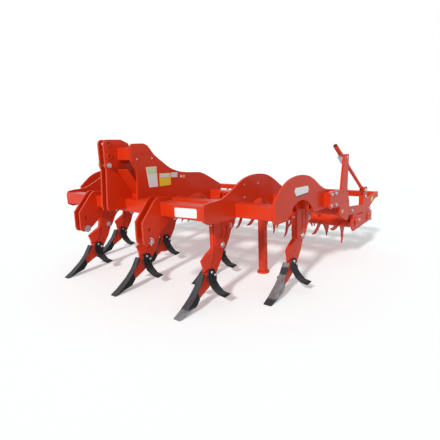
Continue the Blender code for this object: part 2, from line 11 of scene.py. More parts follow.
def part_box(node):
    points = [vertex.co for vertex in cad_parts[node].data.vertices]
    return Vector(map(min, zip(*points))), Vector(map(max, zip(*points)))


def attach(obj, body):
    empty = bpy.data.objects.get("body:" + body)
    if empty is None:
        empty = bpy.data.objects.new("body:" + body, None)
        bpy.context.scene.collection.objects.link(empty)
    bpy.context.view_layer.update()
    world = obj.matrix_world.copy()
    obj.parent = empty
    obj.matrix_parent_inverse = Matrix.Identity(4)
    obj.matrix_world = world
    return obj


bl_info = {
    "name": "Subsoiler finish",
    "version": (1, 0, 0),
    "blender": (4, 5, 0),
    "location": "3D View > Sidebar > Subsoiler",
    "description": "Paints and dresses the frame of a seven-tine subsoiler",
    "category": "Object",
}

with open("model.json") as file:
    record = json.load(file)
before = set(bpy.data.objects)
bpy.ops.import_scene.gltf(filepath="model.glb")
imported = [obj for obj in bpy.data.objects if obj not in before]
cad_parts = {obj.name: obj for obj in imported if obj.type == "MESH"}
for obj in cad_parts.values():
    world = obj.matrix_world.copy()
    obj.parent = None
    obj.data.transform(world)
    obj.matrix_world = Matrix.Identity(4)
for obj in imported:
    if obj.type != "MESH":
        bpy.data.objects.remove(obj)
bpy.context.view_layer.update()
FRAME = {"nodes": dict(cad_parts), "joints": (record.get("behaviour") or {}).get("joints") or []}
NODES = FRAME["nodes"]
JOINTS = {joint["name"]: joint for joint in FRAME["joints"]}
SIDES = (("left", 1), ("right", -1))

# Where the frame puts things, in metres
FRONT_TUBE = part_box("front_tube")
MIDDLE_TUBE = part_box("middle_tube")
REAR_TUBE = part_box("rear_tube")
CROSS_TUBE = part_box("top_cross_tube")
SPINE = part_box("spine_plate_left")
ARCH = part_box("arch_plate_left")
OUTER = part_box("outer_plate_left")
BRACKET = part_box("roller_bracket_left")
SIDE_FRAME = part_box("roller_side_left")
PIVOT = Vector(JOINTS["roller_lift"]["pos_m"])
TRUNNION = Vector(JOINTS["adjuster_left_tilt"]["pos_m"])
ROTORS = [Vector(JOINTS[name]["pos_m"]) for name in ("front_rotor_spin", "rear_rotor_spin")]
STRUT_WAY = Vector(JOINTS["adjuster_left_slide"]["axis"])
POINTS = [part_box("chisel_point_%d" % (i + 1)) for i in range(7)]
TIPS = [Vector((high.x, (low.y + high.y) / 2, 0)) for low, high in POINTS]
TIP_X = max(tip.x for tip in TIPS)              # the front tines' tips

# Places on a tine, forward and up from its tip
CLAMP_BOLTS = ((-0.570, 0.497, 1.0), (-0.692, 0.647, 0.8))    # and their share of the size
CLAMP_BAR_END = 0.010           # how far the bars of the bolts stand out of the clamp
SHANK_SCREW = Vector((-0.466, 0, 0.688))        # on the shank's front edge
SHANK_SCREW_SHARE = 0.6
SHANK_HOLES = ((-0.461, 0.435), (-0.4515, 0.370), (-0.489, 0.3255))
SHANK_HOLE_RADIUS = 0.006
SHIN_STAND = 0.0065             # how far the shin stands out of the shank's sides
WING_BOLTS = ((-0.410, 0.290), (-0.450, 0.255))
WING_BOLT_SEAT = 0.0285         # from the middle of the tine
POINT_FINISHES = {"chisel_point_6": "point_tipped", "chisel_point_7": "point_banded"}

# Places on the frame, forward and up from the front tines' tips
BRACKET_BOLTS = ((-1.4985, 0.8534), (-1.5933, 0.8529), (-1.4858, 0.7465), (-1.5946, 0.7418))
BRACKET_BOLT_SINK = 0.004       # keeps the heads close to the machine's width
BRACKET_HOLES = ((-1.750, 0.849), (-1.861, 0.842), (-1.747, 0.742), (-1.858, 0.737))
BRACKET_HOLE_RADIUS = 0.009
ARCH_BOLTS = ((-0.727, 1.011), (-0.932, 1.003), (-0.728, 0.901))
SPINE_BOLTS = ((-0.229, 1.257), (-0.400, 1.255))
PLATE_BOLT_SHARE = 0.5          # of a bracket bolt's size
PIVOT_BOLT = (0.014, 1.1)       # its sink in the bracket and its share of the size
TRUNNION_BOLT = (0.012, 0.9)

# Places on the roller's side frame, forward and up from the front tines' tips
SIDE_FRAME_BOLTS = ((-2.0789, 0.6047), (-2.2896, 0.4663), (-2.5548, 0.4597),
                    (-2.6076, 0.5562), (-2.6654, 0.5010), (-2.6625, 0.4132))
SIDE_BOLT_SHARE = 0.7
SIDE_BOLT_SINK = 0.0015
ROD_EYE, EYE_SCREW = (-2.450, 0.780), (-2.455, 0.710)
EYE_STAND = 0.002
BEARING_SINK = 0.0016
BEARING = ((-0.0005, 0.052), (0.006, 0.052), (0.009, 0.040), (0.016, 0.034), (0.017, 0.021))
BEARING_BOLTS = (0.004, 0.043, 0.45)    # their seat, their circle's radius, share of the size

# Linch pins: inset from the hitch pin's end, shaft radius and half length, then the rise,
# radius and wire of the ring
TOP_LINCH = (0.010, 0.004, 0.030, 0.004, 0.024, 0.0022)
LOWER_LINCH = (0.012, 0.005, 0.034, 0.006, 0.027, 0.0024)

# Parking legs: the two ends of a locking pin in their sleeve, and the holes in the leg
LEG_PIN_HEIGHT, LEG_PIN_RADIUS, LEG_PIN_STUB = 0.85, 0.008, 0.022
LEG_PIN_INNER, LEG_PIN_OUTER = 0.064, 0.042     # from the middle of the leg
LEG_PIN_TAPER, LEG_PIN_TIP = 0.014, 0.005       # where the outer end narrows, and to what
LEG_RING_STAND, LEG_RING_DROP, LEG_RING_RADIUS, LEG_RING_WIRE = 0.004, 0.018, 0.022, 0.0025
LEG_HOLES = (0.13, 0.22, 0.31, 0.40, 0.49)
LEG_FACE, LEG_HOLE_RADIUS = 0.0365, 0.0098

# Adjusters
BARREL_RADIUS = 0.0215
CLIP_SINK, CLIP_STAND, CLIP_WIDTH = 0.0005, 0.004, 0.016
CLIP_BACK = 0.068               # from the trunnion, along the barrel
CLIP_TAB = ((1.388, 1.1925), (1.447, 1.1925), (1.447, 1.122), (1.430, 1.120))
CLIP_TAB_X, CLIP_TAB_SHEET, CLIP_TAB_ROUNDING = -1.798, 0.003, 0.005
# where the disc of painted shade sits in a barrel's mouth, and its radius
MOUTH_BACK, MOUTH_RADIUS = 0.200, 0.0180

# Seams
REAR_BACK, REAR_TOP = TIP_X - 1.310, 0.870      # of the rear tube without the legs' sleeves
PLATE_SEAM_BOTTOM, OUTER_SEAM_BOTTOM = 0.750, 0.752
CHEEK_FACES = (0.427, 0.535)    # the outsides of a lower link bracket's two cheeks
HEADSTOCK_FACE = 0.050
HEADSTOCK_SEAM_RISE = 0.04
SPINE_SEAM = ((-0.173, 1.265), (-0.190, 1.285), (-0.214, 1.302), (-0.236, 1.309),
              (-0.261, 1.312), (-0.405, 1.305))
SPINE_SEAM_SHARE = 0.5          # of a bead's radius
BEAD_STEP, BEAD_SIDES = 0.006, 6
BEAD_RIPPLE, BEAD_SPREAD = 0.22, 0.08           # shares of the radius

# Colours that no setting holds, and the heights between which the steel is worn bright
DUST, SCUFF, FLECK = (0.42, 0.30, 0.22, 1), (0.16, 0.13, 0.11, 1), (0.06, 0.06, 0.06, 1)
# two near blacks of the painted shade inside holes and barrels
HOLE_SHADE_COLOURS = ((0.012, 0.012, 0.012, 1), (0.03, 0.03, 0.03, 1))
PALE_GREEN, PALE_BLUE = (0.62, 0.72, 0.42), (0.66, 0.70, 0.78)
TIP_WEAR = ((-0.1, 0.050),)
BAND_WEAR = ((0.04, 0.20), (0.263, 0.4))
WEAR_BLUR = 0.012

# Stage
FLOOR_HALF, FLOOR_DROP = 60, 0.0005
FLOOR_COLOURS = ((0.90, 0.955, 0.955, 1), (0.88, 0.935, 0.94, 1))
FLOOR_GLOW = (0.22, 0.22, 0.22, 1)
SUN_WAY = Vector((1.52, 0.42, 1.0))
SUN_ANGLE = math.radians(6)
CAMERA_SPOT = (1.9145, 2.9916, 1.3791)          # from the front tines' tips
CAMERA_TURNS = (-139.52, 11.49, -2.22)          # heading, dip and tilt in degrees
SENSOR_WIDTH = 36.0

# Angles above which an edge is drawn sharp
SOLID_EDGE, PIECE_EDGE = math.radians(30), math.radians(35)


def from_tips(x, y, z):
    """A point whose X is counted from the front tines' tips."""
    return Vector((TIP_X + x, y, z))


def on_side(y, *corners):
    """Points on a face that looks sideways, given forward and up from the tips."""
    return [from_tips(x, y, z) for x, z in corners]


def on_front(x, *corners):
    """Points on a face that looks ahead, given across and up."""
    return [Vector((x, y, z)) for y, z in corners]


# Blank sheets: name, finish, body, thickness, corner radius and corners
SHEET, TOP_SHEET = 0.0012, 0.0006       # a sheet, and one that lies on it
SPINE_FACE, OUTER_FACE = SPINE[1].y + 0.0002, OUTER[1].y + 0.0002
SPINE_TOP_FACE = SPINE_FACE + 0.0014
FRONT_FACE = FRONT_TUBE[1].x + 0.0002
ROLLER_FACE = SIDE_FRAME[1].y - 0.0008
SHEETS = (
    ("spine_plate_white", "white", "frame", SHEET, 0.006, on_side(
        SPINE_FACE, (-0.322, 1.180), (-0.448, 1.180), (-0.452, 0.992), (-0.346, 0.994))),
    ("spine_plate_yellow", "yellow", "frame", SHEET, 0.006, on_side(
        SPINE_FACE, (-0.474, 1.112), (-0.622, 1.106), (-0.614, 0.990), (-0.472, 0.992))),
    ("spine_strip_blue", "bluish", "frame", SHEET, 0.006, on_side(
        SPINE_FACE, (-0.626, 1.109), (-0.710, 1.104), (-0.705, 1.056), (-0.624, 1.062))),
    ("spine_dot_white", "white", "frame", SHEET, 0.006, on_side(
        SPINE_FACE, (-0.748, 1.072), (-0.770, 1.072), (-0.770, 1.048), (-0.748, 1.048))),
    ("spine_dot_yellow", "yellow", "frame", SHEET, 0.006, on_side(
        SPINE_FACE, (-0.784, 1.070), (-0.808, 1.070), (-0.808, 1.044), (-0.784, 1.044))),
    ("spine_plate_pale_top", "pale", "frame", TOP_SHEET, 0.006, on_side(
        SPINE_TOP_FACE, (-0.326, 1.176), (-0.444, 1.176), (-0.446, 1.120), (-0.333, 1.120))),
    ("spine_plate_blue_top", "bluish", "frame", TOP_SHEET, 0.006, on_side(
        SPINE_TOP_FACE, (-0.490, 1.106), (-0.606, 1.101), (-0.604, 1.068), (-0.489, 1.072))),
    ("outer_plate_white", "white", "frame", SHEET, 0.004, on_side(
        OUTER_FACE, (-0.902, 0.950), (-0.920, 0.978), (-1.134, 0.976), (-1.154, 0.951),
        (-1.142, 0.917), (-0.936, 0.908))),
    ("outer_plate_band", "band", "frame", SHEET, 0.002, on_side(
        OUTER_FACE, (-0.936, 0.906), (-1.142, 0.915), (-1.142, 0.899), (-0.936, 0.888))),
    ("front_tube_plate", "white", "frame", SHEET, 0.015, on_front(
        FRONT_FACE, (0.700, 0.868), (0.700, 0.790), (0.950, 0.800), (0.950, 0.876))),
    ("roller_plate_yellow", "yellow", "roller_frame", SHEET, 0.004, on_side(
        ROLLER_FACE, (-2.640, 0.672), (-2.720, 0.684), (-2.720, 0.640), (-2.640, 0.615))),
)


# Settings

class PaintSettings(bpy.types.PropertyGroup):
    """Colours of the finishes."""
    red: bpy.props.FloatVectorProperty(
        name="Red", description="Powder coat of the frame", subtype="COLOR", size=3,
        default=(0.650, 0.032, 0.004), min=0, max=1)
    black: bpy.props.FloatVectorProperty(
        name="Black", description="Paint of the points and wings", subtype="COLOR", size=3,
        default=(0.008, 0.008, 0.010), min=0, max=1)
    steel: bpy.props.FloatVectorProperty(
        name="Bare steel", description="Steel polished by soil", subtype="COLOR", size=3,
        default=(0.36, 0.37, 0.39), min=0, max=1)
    zinc: bpy.props.FloatVectorProperty(
        name="Zinc", description="Plating of bolts and pins", subtype="COLOR", size=3,
        default=(0.60, 0.60, 0.62), min=0, max=1)
    white: bpy.props.FloatVectorProperty(
        name="White plate", description="Blank plates and stickers", subtype="COLOR", size=3,
        default=(0.80, 0.80, 0.79), min=0, max=1)
    yellow: bpy.props.FloatVectorProperty(
        name="Yellow plate", description="Blank yellow stickers", subtype="COLOR", size=3,
        default=(0.85, 0.58, 0.02), min=0, max=1)


class FastenerSettings(bpy.types.PropertyGroup):
    """Sizes of bolts, nuts and seams."""
    clamp_bolt: bpy.props.FloatProperty(
        name="Clamp bolt", description="Width across the flats of a clamp's bolt head",
        default=0.029, min=0.01, max=0.1, unit="LENGTH")
    frame_bolt: bpy.props.FloatProperty(
        name="Frame bolt", description="Width across the flats of a bracket's bolt head",
        default=0.030, min=0.01, max=0.1, unit="LENGTH")
    wing_bolt: bpy.props.FloatProperty(
        name="Wing bolt", description="Width across the flats of a wing's nut",
        default=0.024, min=0.01, max=0.1, unit="LENGTH")
    bead: bpy.props.FloatProperty(
        name="Weld bead", description="Radius of a weld bead",
        default=0.0045, min=0.001, max=0.02, unit="LENGTH")


class StageSettings(bpy.types.PropertyGroup):
    """Camera and light."""
    lens: bpy.props.FloatProperty(
        name="Lens", description="Focal length for a 36 mm wide picture", default=31.4,
        min=10, max=200)
    key: bpy.props.FloatProperty(
        name="Key light", description="Strength of the soft sun", default=2.5, min=0, max=20)
    fill: bpy.props.FloatProperty(
        name="Fill", description="Strength of the light from all round", default=0.42,
        min=0, max=5)


# Shader expressions

class Value:
    """A socket that takes part in arithmetic."""

    def __init__(self, nodes, socket):
        self.nodes, self.socket = nodes, socket

    def _math(self, operation, *inputs):
        return self.nodes.node("ShaderNodeMath", {"operation": operation}, *inputs)

    def __add__(self, other):
        return self._math("ADD", self, other)

    def __radd__(self, other):
        return self._math("ADD", other, self)

    def __sub__(self, other):
        return self._math("SUBTRACT", self, other)

    def __rsub__(self, other):
        return self._math("SUBTRACT", other, self)

    def __mul__(self, other):
        return self._math("MULTIPLY", self, other)

    def __rmul__(self, other):
        return self._math("MULTIPLY", other, self)

    def larger(self, other):
        return self._math("MAXIMUM", self, other)

    def ramp(self, low, high):
        """0 below low, 1 above high, smooth between."""
        return self.nodes.node("ShaderNodeMapRange", {"interpolation_type": "SMOOTHSTEP"},
                               self, low, high, 0.0, 1.0)


class Nodes:
    """A node tree under construction."""

    def __init__(self, tree):
        self.tree = tree

    def node(self, kind, settings, *values, out=0, at=None, **named):
        """A new node; at gives the numbers of the sockets that take the values."""
        made = self.tree.nodes.new(kind)
        for key, setting in settings.items():
            setattr(made, key, setting)
        for number, value in zip(at or range(len(values)), values):
            self.feed(made.inputs[number], value)
        for name, value in named.items():
            self.feed(made.inputs[name.replace("_", " ")], value)
        return Value(self, made.outputs[out])

    def feed(self, socket, value):
        if isinstance(value, Value):
            self.tree.links.new(value.socket, socket)
        else:
            socket.default_value = value

    def mix(self, factor, first, second):
        """Two colours mixed."""
        return self.node("ShaderNodeMix", {"data_type": "RGBA"}, factor, first, second,
                         at=(0, 6, 7), out=2)


class Shader(Nodes):
    """A material under construction."""

    def __init__(self, name, **fixed):
        self.material = bpy.data.materials.new(name)
        self.material.use_nodes = True
        super().__init__(self.material.node_tree)
        self.surface = self.tree.nodes["Principled BSDF"]
        for socket, value in fixed.items():
            self.surface.inputs[socket.replace("_", " ")].default_value = value

    def set(self, socket, value):
        self.feed(self.surface.inputs[socket], value)

    def place(self):
        """The point on the piece at rest."""
        return self.node("ShaderNodeTexCoord", {}, out="Object")

    def height(self):
        return self.node("ShaderNodeSeparateXYZ", {}, self.place(), out="Z")

    def facing(self, axis):
        """How far the surface of the piece faces along an axis, from -1 to 1."""
        normal = self.node("ShaderNodeTexCoord", {}, out="Normal")
        return self.node("ShaderNodeSeparateXYZ", {}, normal, out=axis)

    def noise(self, scale, detail=3.0, roughness=0.5):
        return self.node("ShaderNodeTexNoise", {}, out="Fac", Vector=self.place(),
                         Scale=scale, Detail=detail, Roughness=roughness)

    def bump(self, height, strength, distance, rounding=0.0015):
        """Fine relief, on edges that look rounded."""
        edges = self.node("ShaderNodeBevel", {"samples": 4}, out="Normal", Radius=rounding)
        normal = self.node("ShaderNodeBump", {}, out="Normal", Strength=strength,
                           Distance=distance, Height=height, Normal=edges)
        self.set("Normal", normal)


def shade(colour, factor):
    return tuple(channel * factor for channel in colour[:3]) + (1.0,)


def red_paint(name="red_paint", wear=0.0, rounding=0.003):
    """Powder coat, dusty low down and scuffed where it is worn."""
    colour = bpy.context.scene.subsoiler_paint.red
    look = Shader(name, Coat_Weight=0.12, Coat_Roughness=0.06, Specular_IOR_Level=0.25)
    mottle = look.noise(3.0, 4.0).ramp(0.35, 0.65)
    dust = (1 - look.height().ramp(0.05, 0.45)) * look.noise(14.0, 5.0).ramp(0.42, 0.70)
    base = look.mix(mottle * 0.35, shade(colour, 1.0), shade(colour, 0.86))
    base = look.mix(dust * 0.16, base, DUST)
    if wear:
        scuffed = look.noise(38.0, 6.0, 0.65).ramp(0.66, 0.70) * wear
        base = look.mix(scuffed, base, SCUFF)
    look.set("Base Color", base)
    look.set("Roughness", 0.30 + look.noise(22.0, 3.0) * 0.10 + dust * 0.25)
    look.bump(look.noise(420.0, 2.0), 0.06, 0.0006, rounding)
    return look.material


def wear_steel(name, bands=(), front=0.0):
    """Black paint over forged steel, worn bright in bands of height, and bare and lighter on
    faces that look ahead.
    """
    paint = bpy.context.scene.subsoiler_paint
    look = Shader(name, Specular_IOR_Level=0.25)
    grain = look.noise(26.0, 5.0, 0.6)
    scratches = look.node("ShaderNodeTexNoise", {}, out="Fac", Scale=60.0, Detail=3.0,
                          Vector=look.node("ShaderNodeMapping", {}, look.place(),
                                           Scale=(0.25, 3.0, 0.25)))
    edge = look.height() + (grain - 0.5) * 0.05
    # bare, lighter steel on faces that look ahead, as far as they face ahead, scaled by front
    worn = look.facing("X").ramp(0.15, 0.35) * (0.7 + grain * 0.5) * front
    for low, high in bands:
        rise = edge.ramp(low - WEAR_BLUR, low + WEAR_BLUR)
        worn = worn.larger(rise - edge.ramp(high - WEAR_BLUR, high + WEAR_BLUR))
    flecks = look.noise(90.0, 4.0, 0.7).ramp(0.60, 0.66) * 0.25
    bare = look.mix(scratches.ramp(0.35, 0.65), shade(paint.steel, 1.0),
                    shade(paint.steel, 0.62))
    black = look.mix(flecks, shade(paint.black, 1.0), FLECK)
    look.set("Base Color", look.mix(worn, black, bare))
    look.set("Metallic", worn * 0.9)
    look.set("Roughness", 0.46 - worn * 0.10 + grain * 0.12)
    look.bump(grain * 0.6 + scratches * 0.4, 0.35, 0.0012)
    return look.material


def zinc_plate():
    """Cloudy plating of bolts, pins and clips."""
    look = Shader("zinc_plate", Metallic=1.0)
    cloud = look.noise(70.0, 4.0)
    zinc = bpy.context.scene.subsoiler_paint.zinc
    look.set("Base Color", look.mix(cloud, shade(zinc, 1.05), shade(zinc, 0.78)))
    look.set("Roughness", 0.24 + cloud * 0.18)
    look.bump(look.noise(300.0, 2.0), 0.10, 0.0004)
    return look.material


def hole_shade_look():
    """Painted shade for the dark inside of holes and barrels."""
    look = Shader("painted_hole_shade")
    look.set("Base Color", look.mix(look.noise(60.0), *HOLE_SHADE_COLOURS))
    look.set("Roughness", 0.55 + look.noise(40.0) * 0.2)
    return look.material


def sticker(name, colour):
    """Slightly glossy film or painted sheet."""
    look = Shader(name, Coat_Weight=0.3, Coat_Roughness=0.15)
    film = look.noise(35.0, 4.0)
    look.set("Base Color", look.mix(film * 0.3, shade(colour, 1.0), shade(colour, 0.90)))
    look.set("Roughness", 0.32 + film * 0.10)
    look.bump(look.noise(120.0, 2.0), 0.05, 0.0004)
    return look.material


MATERIALS = {}


def material(name):
    """Each finish is made once, when it is first asked for."""
    paint = bpy.context.scene.subsoiler_paint
    makers = {
        "red": red_paint,
        "red_worn": lambda: red_paint("red_paint_worn", 0.5),
        "red_tube": lambda: red_paint("red_paint_tube", rounding=0.012),
        "point": lambda: wear_steel("painted_point", front=0.15),
        "point_tipped": lambda: wear_steel("worn_point", TIP_WEAR, 0.18),
        "point_banded": lambda: wear_steel("banded_point", BAND_WEAR, 0.10),
        "wing": lambda: wear_steel("wing_steel", front=0.10),
        "zinc": zinc_plate,
        "hole_shade": hole_shade_look,
        "white": lambda: sticker("white_plate", paint.white),
        "pale": lambda: sticker("pale_green_plate", PALE_GREEN),
        "yellow": lambda: sticker("yellow_plate", paint.yellow),
        "band": lambda: sticker("dark_red_band", shade(paint.red, 0.35)),
        "bluish": lambda: sticker("pale_blue_strip", PALE_BLUE),
    }
    if name not in MATERIALS:
        MATERIALS[name] = makers[name]()
    return MATERIALS[name]


# Shapes

def piece(shape, name, finish, body):
    """Turn a bmesh into a named piece that moves with a body."""
    bmesh.ops.recalc_face_normals(shape, faces=shape.faces)
    mesh = bpy.data.meshes.new(name)
    shape.to_mesh(mesh)
    shape.free()
    mesh.shade_smooth()
    mesh.set_sharp_from_angle(angle=PIECE_EDGE)
    made = bpy.data.objects.new(name, mesh)
    bpy.context.scene.collection.objects.link(made)
    mesh.materials.append(material(finish))
    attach(made, body)


def turned(shape, start, along, profile, sides=24, hollow=False):
    """A turned solid from rows of (distance along, radius); a hollow one closes its profile."""
    along = Vector(along).normalized()
    turn = along.to_track_quat("Z", "Y").to_matrix()
    rings = []
    for reach, radius in profile:
        ring = []
        for k in range(sides):
            a = 2 * math.pi * k / sides
            flat = Vector((radius * math.cos(a), radius * math.sin(a), reach))
            ring.append(shape.verts.new(Vector(start) + turn @ flat))
        rings.append(ring)
    if hollow:
        rings.append(rings[0])
    for low, high in zip(rings, rings[1:]):
        for k in range(sides):
            n = (k + 1) % sides
            shape.faces.new((low[k], low[n], high[n], high[k]))
    if not hollow:
        shape.faces.new(list(reversed(rings[0])))
        shape.faces.new(rings[-1])


def hex_bolt(shape, seat, along, flats, washer=True):
    """A bolt head on its washer, chamfered on top."""
    along = Vector(along).normalized()
    radius = flats / math.sqrt(3)
    height = flats * 0.42
    base = 0.0
    if washer:
        base = flats * 0.10
        turned(shape, seat, along, ((0, flats * 0.92), (base, flats * 0.92)), 24)
    turned(shape, seat, along, ((base, radius), (base + height * 0.85, radius),
                                (base + height, radius * 0.86)), 6)
    turned(shape, seat, along, ((base + height * 0.9, flats * 0.40),
                                (base + height * 1.06, flats * 0.38)), 20)


def hole_shade_disc(shape, seat, along, radius):
    """A thin disc of painted shade in the mouth of a drilled hole."""
    turned(shape, seat, along, ((0.0, radius), (0.0006, radius)), 16)


def bead(shape, path, radius, rng):
    """A weld bead along a path, rippled as it was laid."""
    points = []
    for start, end in zip(path, path[1:]):
        run = Vector(end) - Vector(start)
        steps = max(1, round(run.length / BEAD_STEP))
        points += [Vector(start) + run * (k / steps) for k in range(steps)]
    points.append(Vector(path[-1]))
    rings = []
    for i, point in enumerate(points):
        way = points[min(i + 1, len(points) - 1)] - points[max(i - 1, 0)]
        turn = way.normalized().to_track_quat("Z", "Y").to_matrix()
        size = radius * (1.0 + BEAD_RIPPLE * (i % 2) + rng.uniform(-BEAD_SPREAD, BEAD_SPREAD))
        ring = []
        for k in range(BEAD_SIDES):
            a = 2 * math.pi * k / BEAD_SIDES
            ring.append(shape.verts.new(
                point + turn @ Vector((size * math.cos(a), size * math.sin(a), 0))))
        rings.append(ring)
    for low, high in zip(rings, rings[1:]):
        for k in range(BEAD_SIDES):
            n = (k + 1) % BEAD_SIDES
            shape.faces.new((low[k], low[n], high[n], high[k]))
    shape.faces.new(list(reversed(rings[0])))
    shape.faces.new(rings[-1])


def rounded_sheet(shape, corners, thickness, radius=0.006):
    """A thin sheet with rounded corners; the corners lie in one plane."""
    points = [Vector(c) for c in corners]
    normal = (points[1] - points[0]).cross(points[2] - points[1]).normalized()
    outline = []
    for i, point in enumerate(points):
        before = (points[i - 1] - point).normalized()
        after = (points[(i + 1) % len(points)] - point).normalized()
        for t in (0.0, 0.3, 0.7, 1.0):
            start, end = point + before * radius, point + after * radius
            curve = start * (1 - t) ** 2 + point * 2 * t * (1 - t) + end * t * t
            outline.append(curve)
    low = [shape.verts.new(p) for p in outline]
    high = [shape.verts.new(p + normal * thickness) for p in outline]
    shape.faces.new(list(reversed(low)))
    shape.faces.new(high)
    for k in range(len(low)):
        n = (k + 1) % len(low)
        shape.faces.new((low[k], low[n], high[n], high[k]))


def ring(shape, centre, axis, radius, wire, sides=24, around=8):
    """A wire ring, such as that of a linch pin."""
    turn = Vector(axis).normalized().to_track_quat("Z", "Y").to_matrix()
    loops = []
    for i in range(sides):
        a = 2 * math.pi * i / sides
        middle = Vector((math.cos(a), math.sin(a), 0))
        loop = []
        for k in range(around):
            b = 2 * math.pi * k / around
            offset = middle * (radius + wire * math.cos(b)) + Vector((0, 0, wire * math.sin(b)))
            loop.append(shape.verts.new(Vector(centre) + turn @ offset))
        loops.append(loop)
    for i in range(sides):
        first, second = loops[i], loops[(i + 1) % sides]
        for k in range(around):
            n = (k + 1) % around
            shape.faces.new((first[k], first[n], second[n], second[k]))


def half_width(node):
    """Half of a node's width across the machine."""
    low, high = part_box(node)
    return (high.y - low.y) / 2


def bolt_row(shape, places, face, side, flats, washer=True):
    """Bolts that look out of a side face, at places forward and up from the tips."""
    for x, z in places:
        hex_bolt(shape, from_tips(x, side * face, z), (0, side, 0), flats, washer)


def linch_pin(name, node, side, sizes, tilt):
    """A linch pin near one end of a hitch pin, with its ring."""
    inset, radius, half, rise, loop, wire = sizes
    low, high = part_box(node)
    middle = (low + high) / 2
    outer = high.y if side > 0 else low.y
    at = Vector((middle.x, outer - side * inset, middle.z))
    shape = bmesh.new()
    turned(shape, at - Vector((0, 0, half)), (0, 0, 1), ((0, radius), (2 * half, radius)), 12)
    ring(shape, at + Vector((0, 0, rise)), (1, tilt, 0), loop, wire)
    piece(shape, name, "zinc", "frame")


def over_tube(tube, y, bottom):
    """A seam's path up the back of a tube, across its top and down its front."""
    low, high = tube
    rear, top = (REAR_BACK, REAR_TOP) if tube is REAR_TUBE else (low.x, high.z)
    return [(rear, y, bottom), (rear, y, top), (high.x, y, top), (high.x, y, bottom)]


def weld(name, paths, radius, rng):
    """One piece of painted beads."""
    shape = bmesh.new()
    for path in paths:
        bead(shape, path, radius, rng)
    piece(shape, name, "red", "frame")


# Operators

class SUBSOILER_OT_paint(bpy.types.Operator):
    """Give every solid of the frame its paint or metal"""
    bl_idname = "subsoiler.paint"
    bl_label = "Paint the machine"

    def execute(self, context):
        for name, node in NODES.items():
            if name.startswith("chisel_point"):
                finish = POINT_FINISHES.get(name, "point")
            elif name.startswith("wing_pair"):
                finish = "wing"
            elif "link_pin" in name:
                finish = "zinc"
            elif name.startswith("shank_") and "clamp" not in name:
                finish = "red_worn"
            elif name.endswith("_tube") and "pivot" not in name:
                finish = "red_tube"
            else:
                finish = "red"
            node.data.materials.clear()
            node.data.materials.append(material(finish))
            node.data.shade_smooth()
            node.data.set_sharp_from_angle(angle=SOLID_EDGE)
        return {"FINISHED"}


class SUBSOILER_OT_clamp_bolts(bpy.types.Operator):
    """Bolts of the clamps, a screw in front of each shank, and painted shade in the shanks'
    holes
    """
    bl_idname = "subsoiler.clamp_bolts"
    bl_label = "Clamp bolts"

    def execute(self, context):
        flats = context.scene.subsoiler_fasteners.clamp_bolt
        for i, tip in enumerate(TIPS, 1):
            clamp_face = half_width("shank_clamp_%d" % i) - CLAMP_BAR_END
            shank_face = half_width("shank_%d" % i) - SHIN_STAND
            bolts, holes = bmesh.new(), bmesh.new()
            for side in (1, -1):
                for x, z, share in CLAMP_BOLTS:
                    seat = tip + Vector((x, side * clamp_face, z))
                    hex_bolt(bolts, seat, (0, side, 0), flats * share)
                # dark discs of painted shade in the shank's holes
                for x, z in SHANK_HOLES:
                    seat = tip + Vector((x, side * shank_face, z))
                    hole_shade_disc(holes, seat, (0, side, 0), SHANK_HOLE_RADIUS)
            hex_bolt(bolts, tip + SHANK_SCREW, (1, 0, 0), flats * SHANK_SCREW_SHARE)
            piece(bolts, "clamp_bolts_%d" % i, "zinc", "frame")
            piece(holes, "shank_holes_%d" % i, "hole_shade", "frame")
        return {"FINISHED"}


class SUBSOILER_OT_wing_bolts(bpy.types.Operator):
    """Nuts that hold the wings to the shanks"""
    bl_idname = "subsoiler.wing_bolts"
    bl_label = "Wing bolts"

    def execute(self, context):
        flats = context.scene.subsoiler_fasteners.wing_bolt
        for i, tip in enumerate(TIPS, 1):
            shape = bmesh.new()
            for side in (1, -1):
                for x, z in WING_BOLTS:
                    seat = tip + Vector((x, side * WING_BOLT_SEAT, z))
                    hex_bolt(shape, seat, (0, side, 0), flats, washer=False)
            piece(shape, "wing_bolts_%d" % i, "zinc", "frame")
        return {"FINISHED"}


class SUBSOILER_OT_frame_bolts(bpy.types.Operator):
    """Bolts of the roller brackets, arch and spine plates and roller side frames"""
    bl_idname = "subsoiler.frame_bolts"
    bl_label = "Frame bolts"

    def execute(self, context):
        flats = context.scene.subsoiler_fasteners.frame_bolt
        for name, side in SIDES:
            bolts = bmesh.new()
            bolt_row(bolts, BRACKET_BOLTS, BRACKET[1].y - BRACKET_BOLT_SINK, side, flats)
            piece(bolts, "bracket_bolts_" + name, "zinc", "frame")
            holes = bmesh.new()
            # dark discs of painted shade in the bracket's holes
            for x, z in BRACKET_HOLES:
                hole_shade_disc(holes, from_tips(x, side * BRACKET[1].y, z), (0, side, 0),
                           BRACKET_HOLE_RADIUS)
            piece(holes, "bracket_holes_" + name, "hole_shade", "frame")
            bolts = bmesh.new()
            for places, plate in ((ARCH_BOLTS, ARCH), (SPINE_BOLTS, SPINE)):
                bolt_row(bolts, places, plate[1].y, side, flats * PLATE_BOLT_SHARE, False)
            piece(bolts, "plate_bolts_" + name, "zinc", "frame")
            bolts = bmesh.new()
            face = SIDE_FRAME[1].y - SIDE_BOLT_SINK
            bolt_row(bolts, SIDE_FRAME_BOLTS, face, side, flats * SIDE_BOLT_SHARE)
            bolt_row(bolts, (ROD_EYE,), face + EYE_STAND, side, flats)
            bolt_row(bolts, (EYE_SCREW,), face + EYE_STAND, side, flats * SIDE_BOLT_SHARE)
            piece(bolts, "side_frame_bolts_" + name, "zinc", "roller_frame")
        return {"FINISHED"}


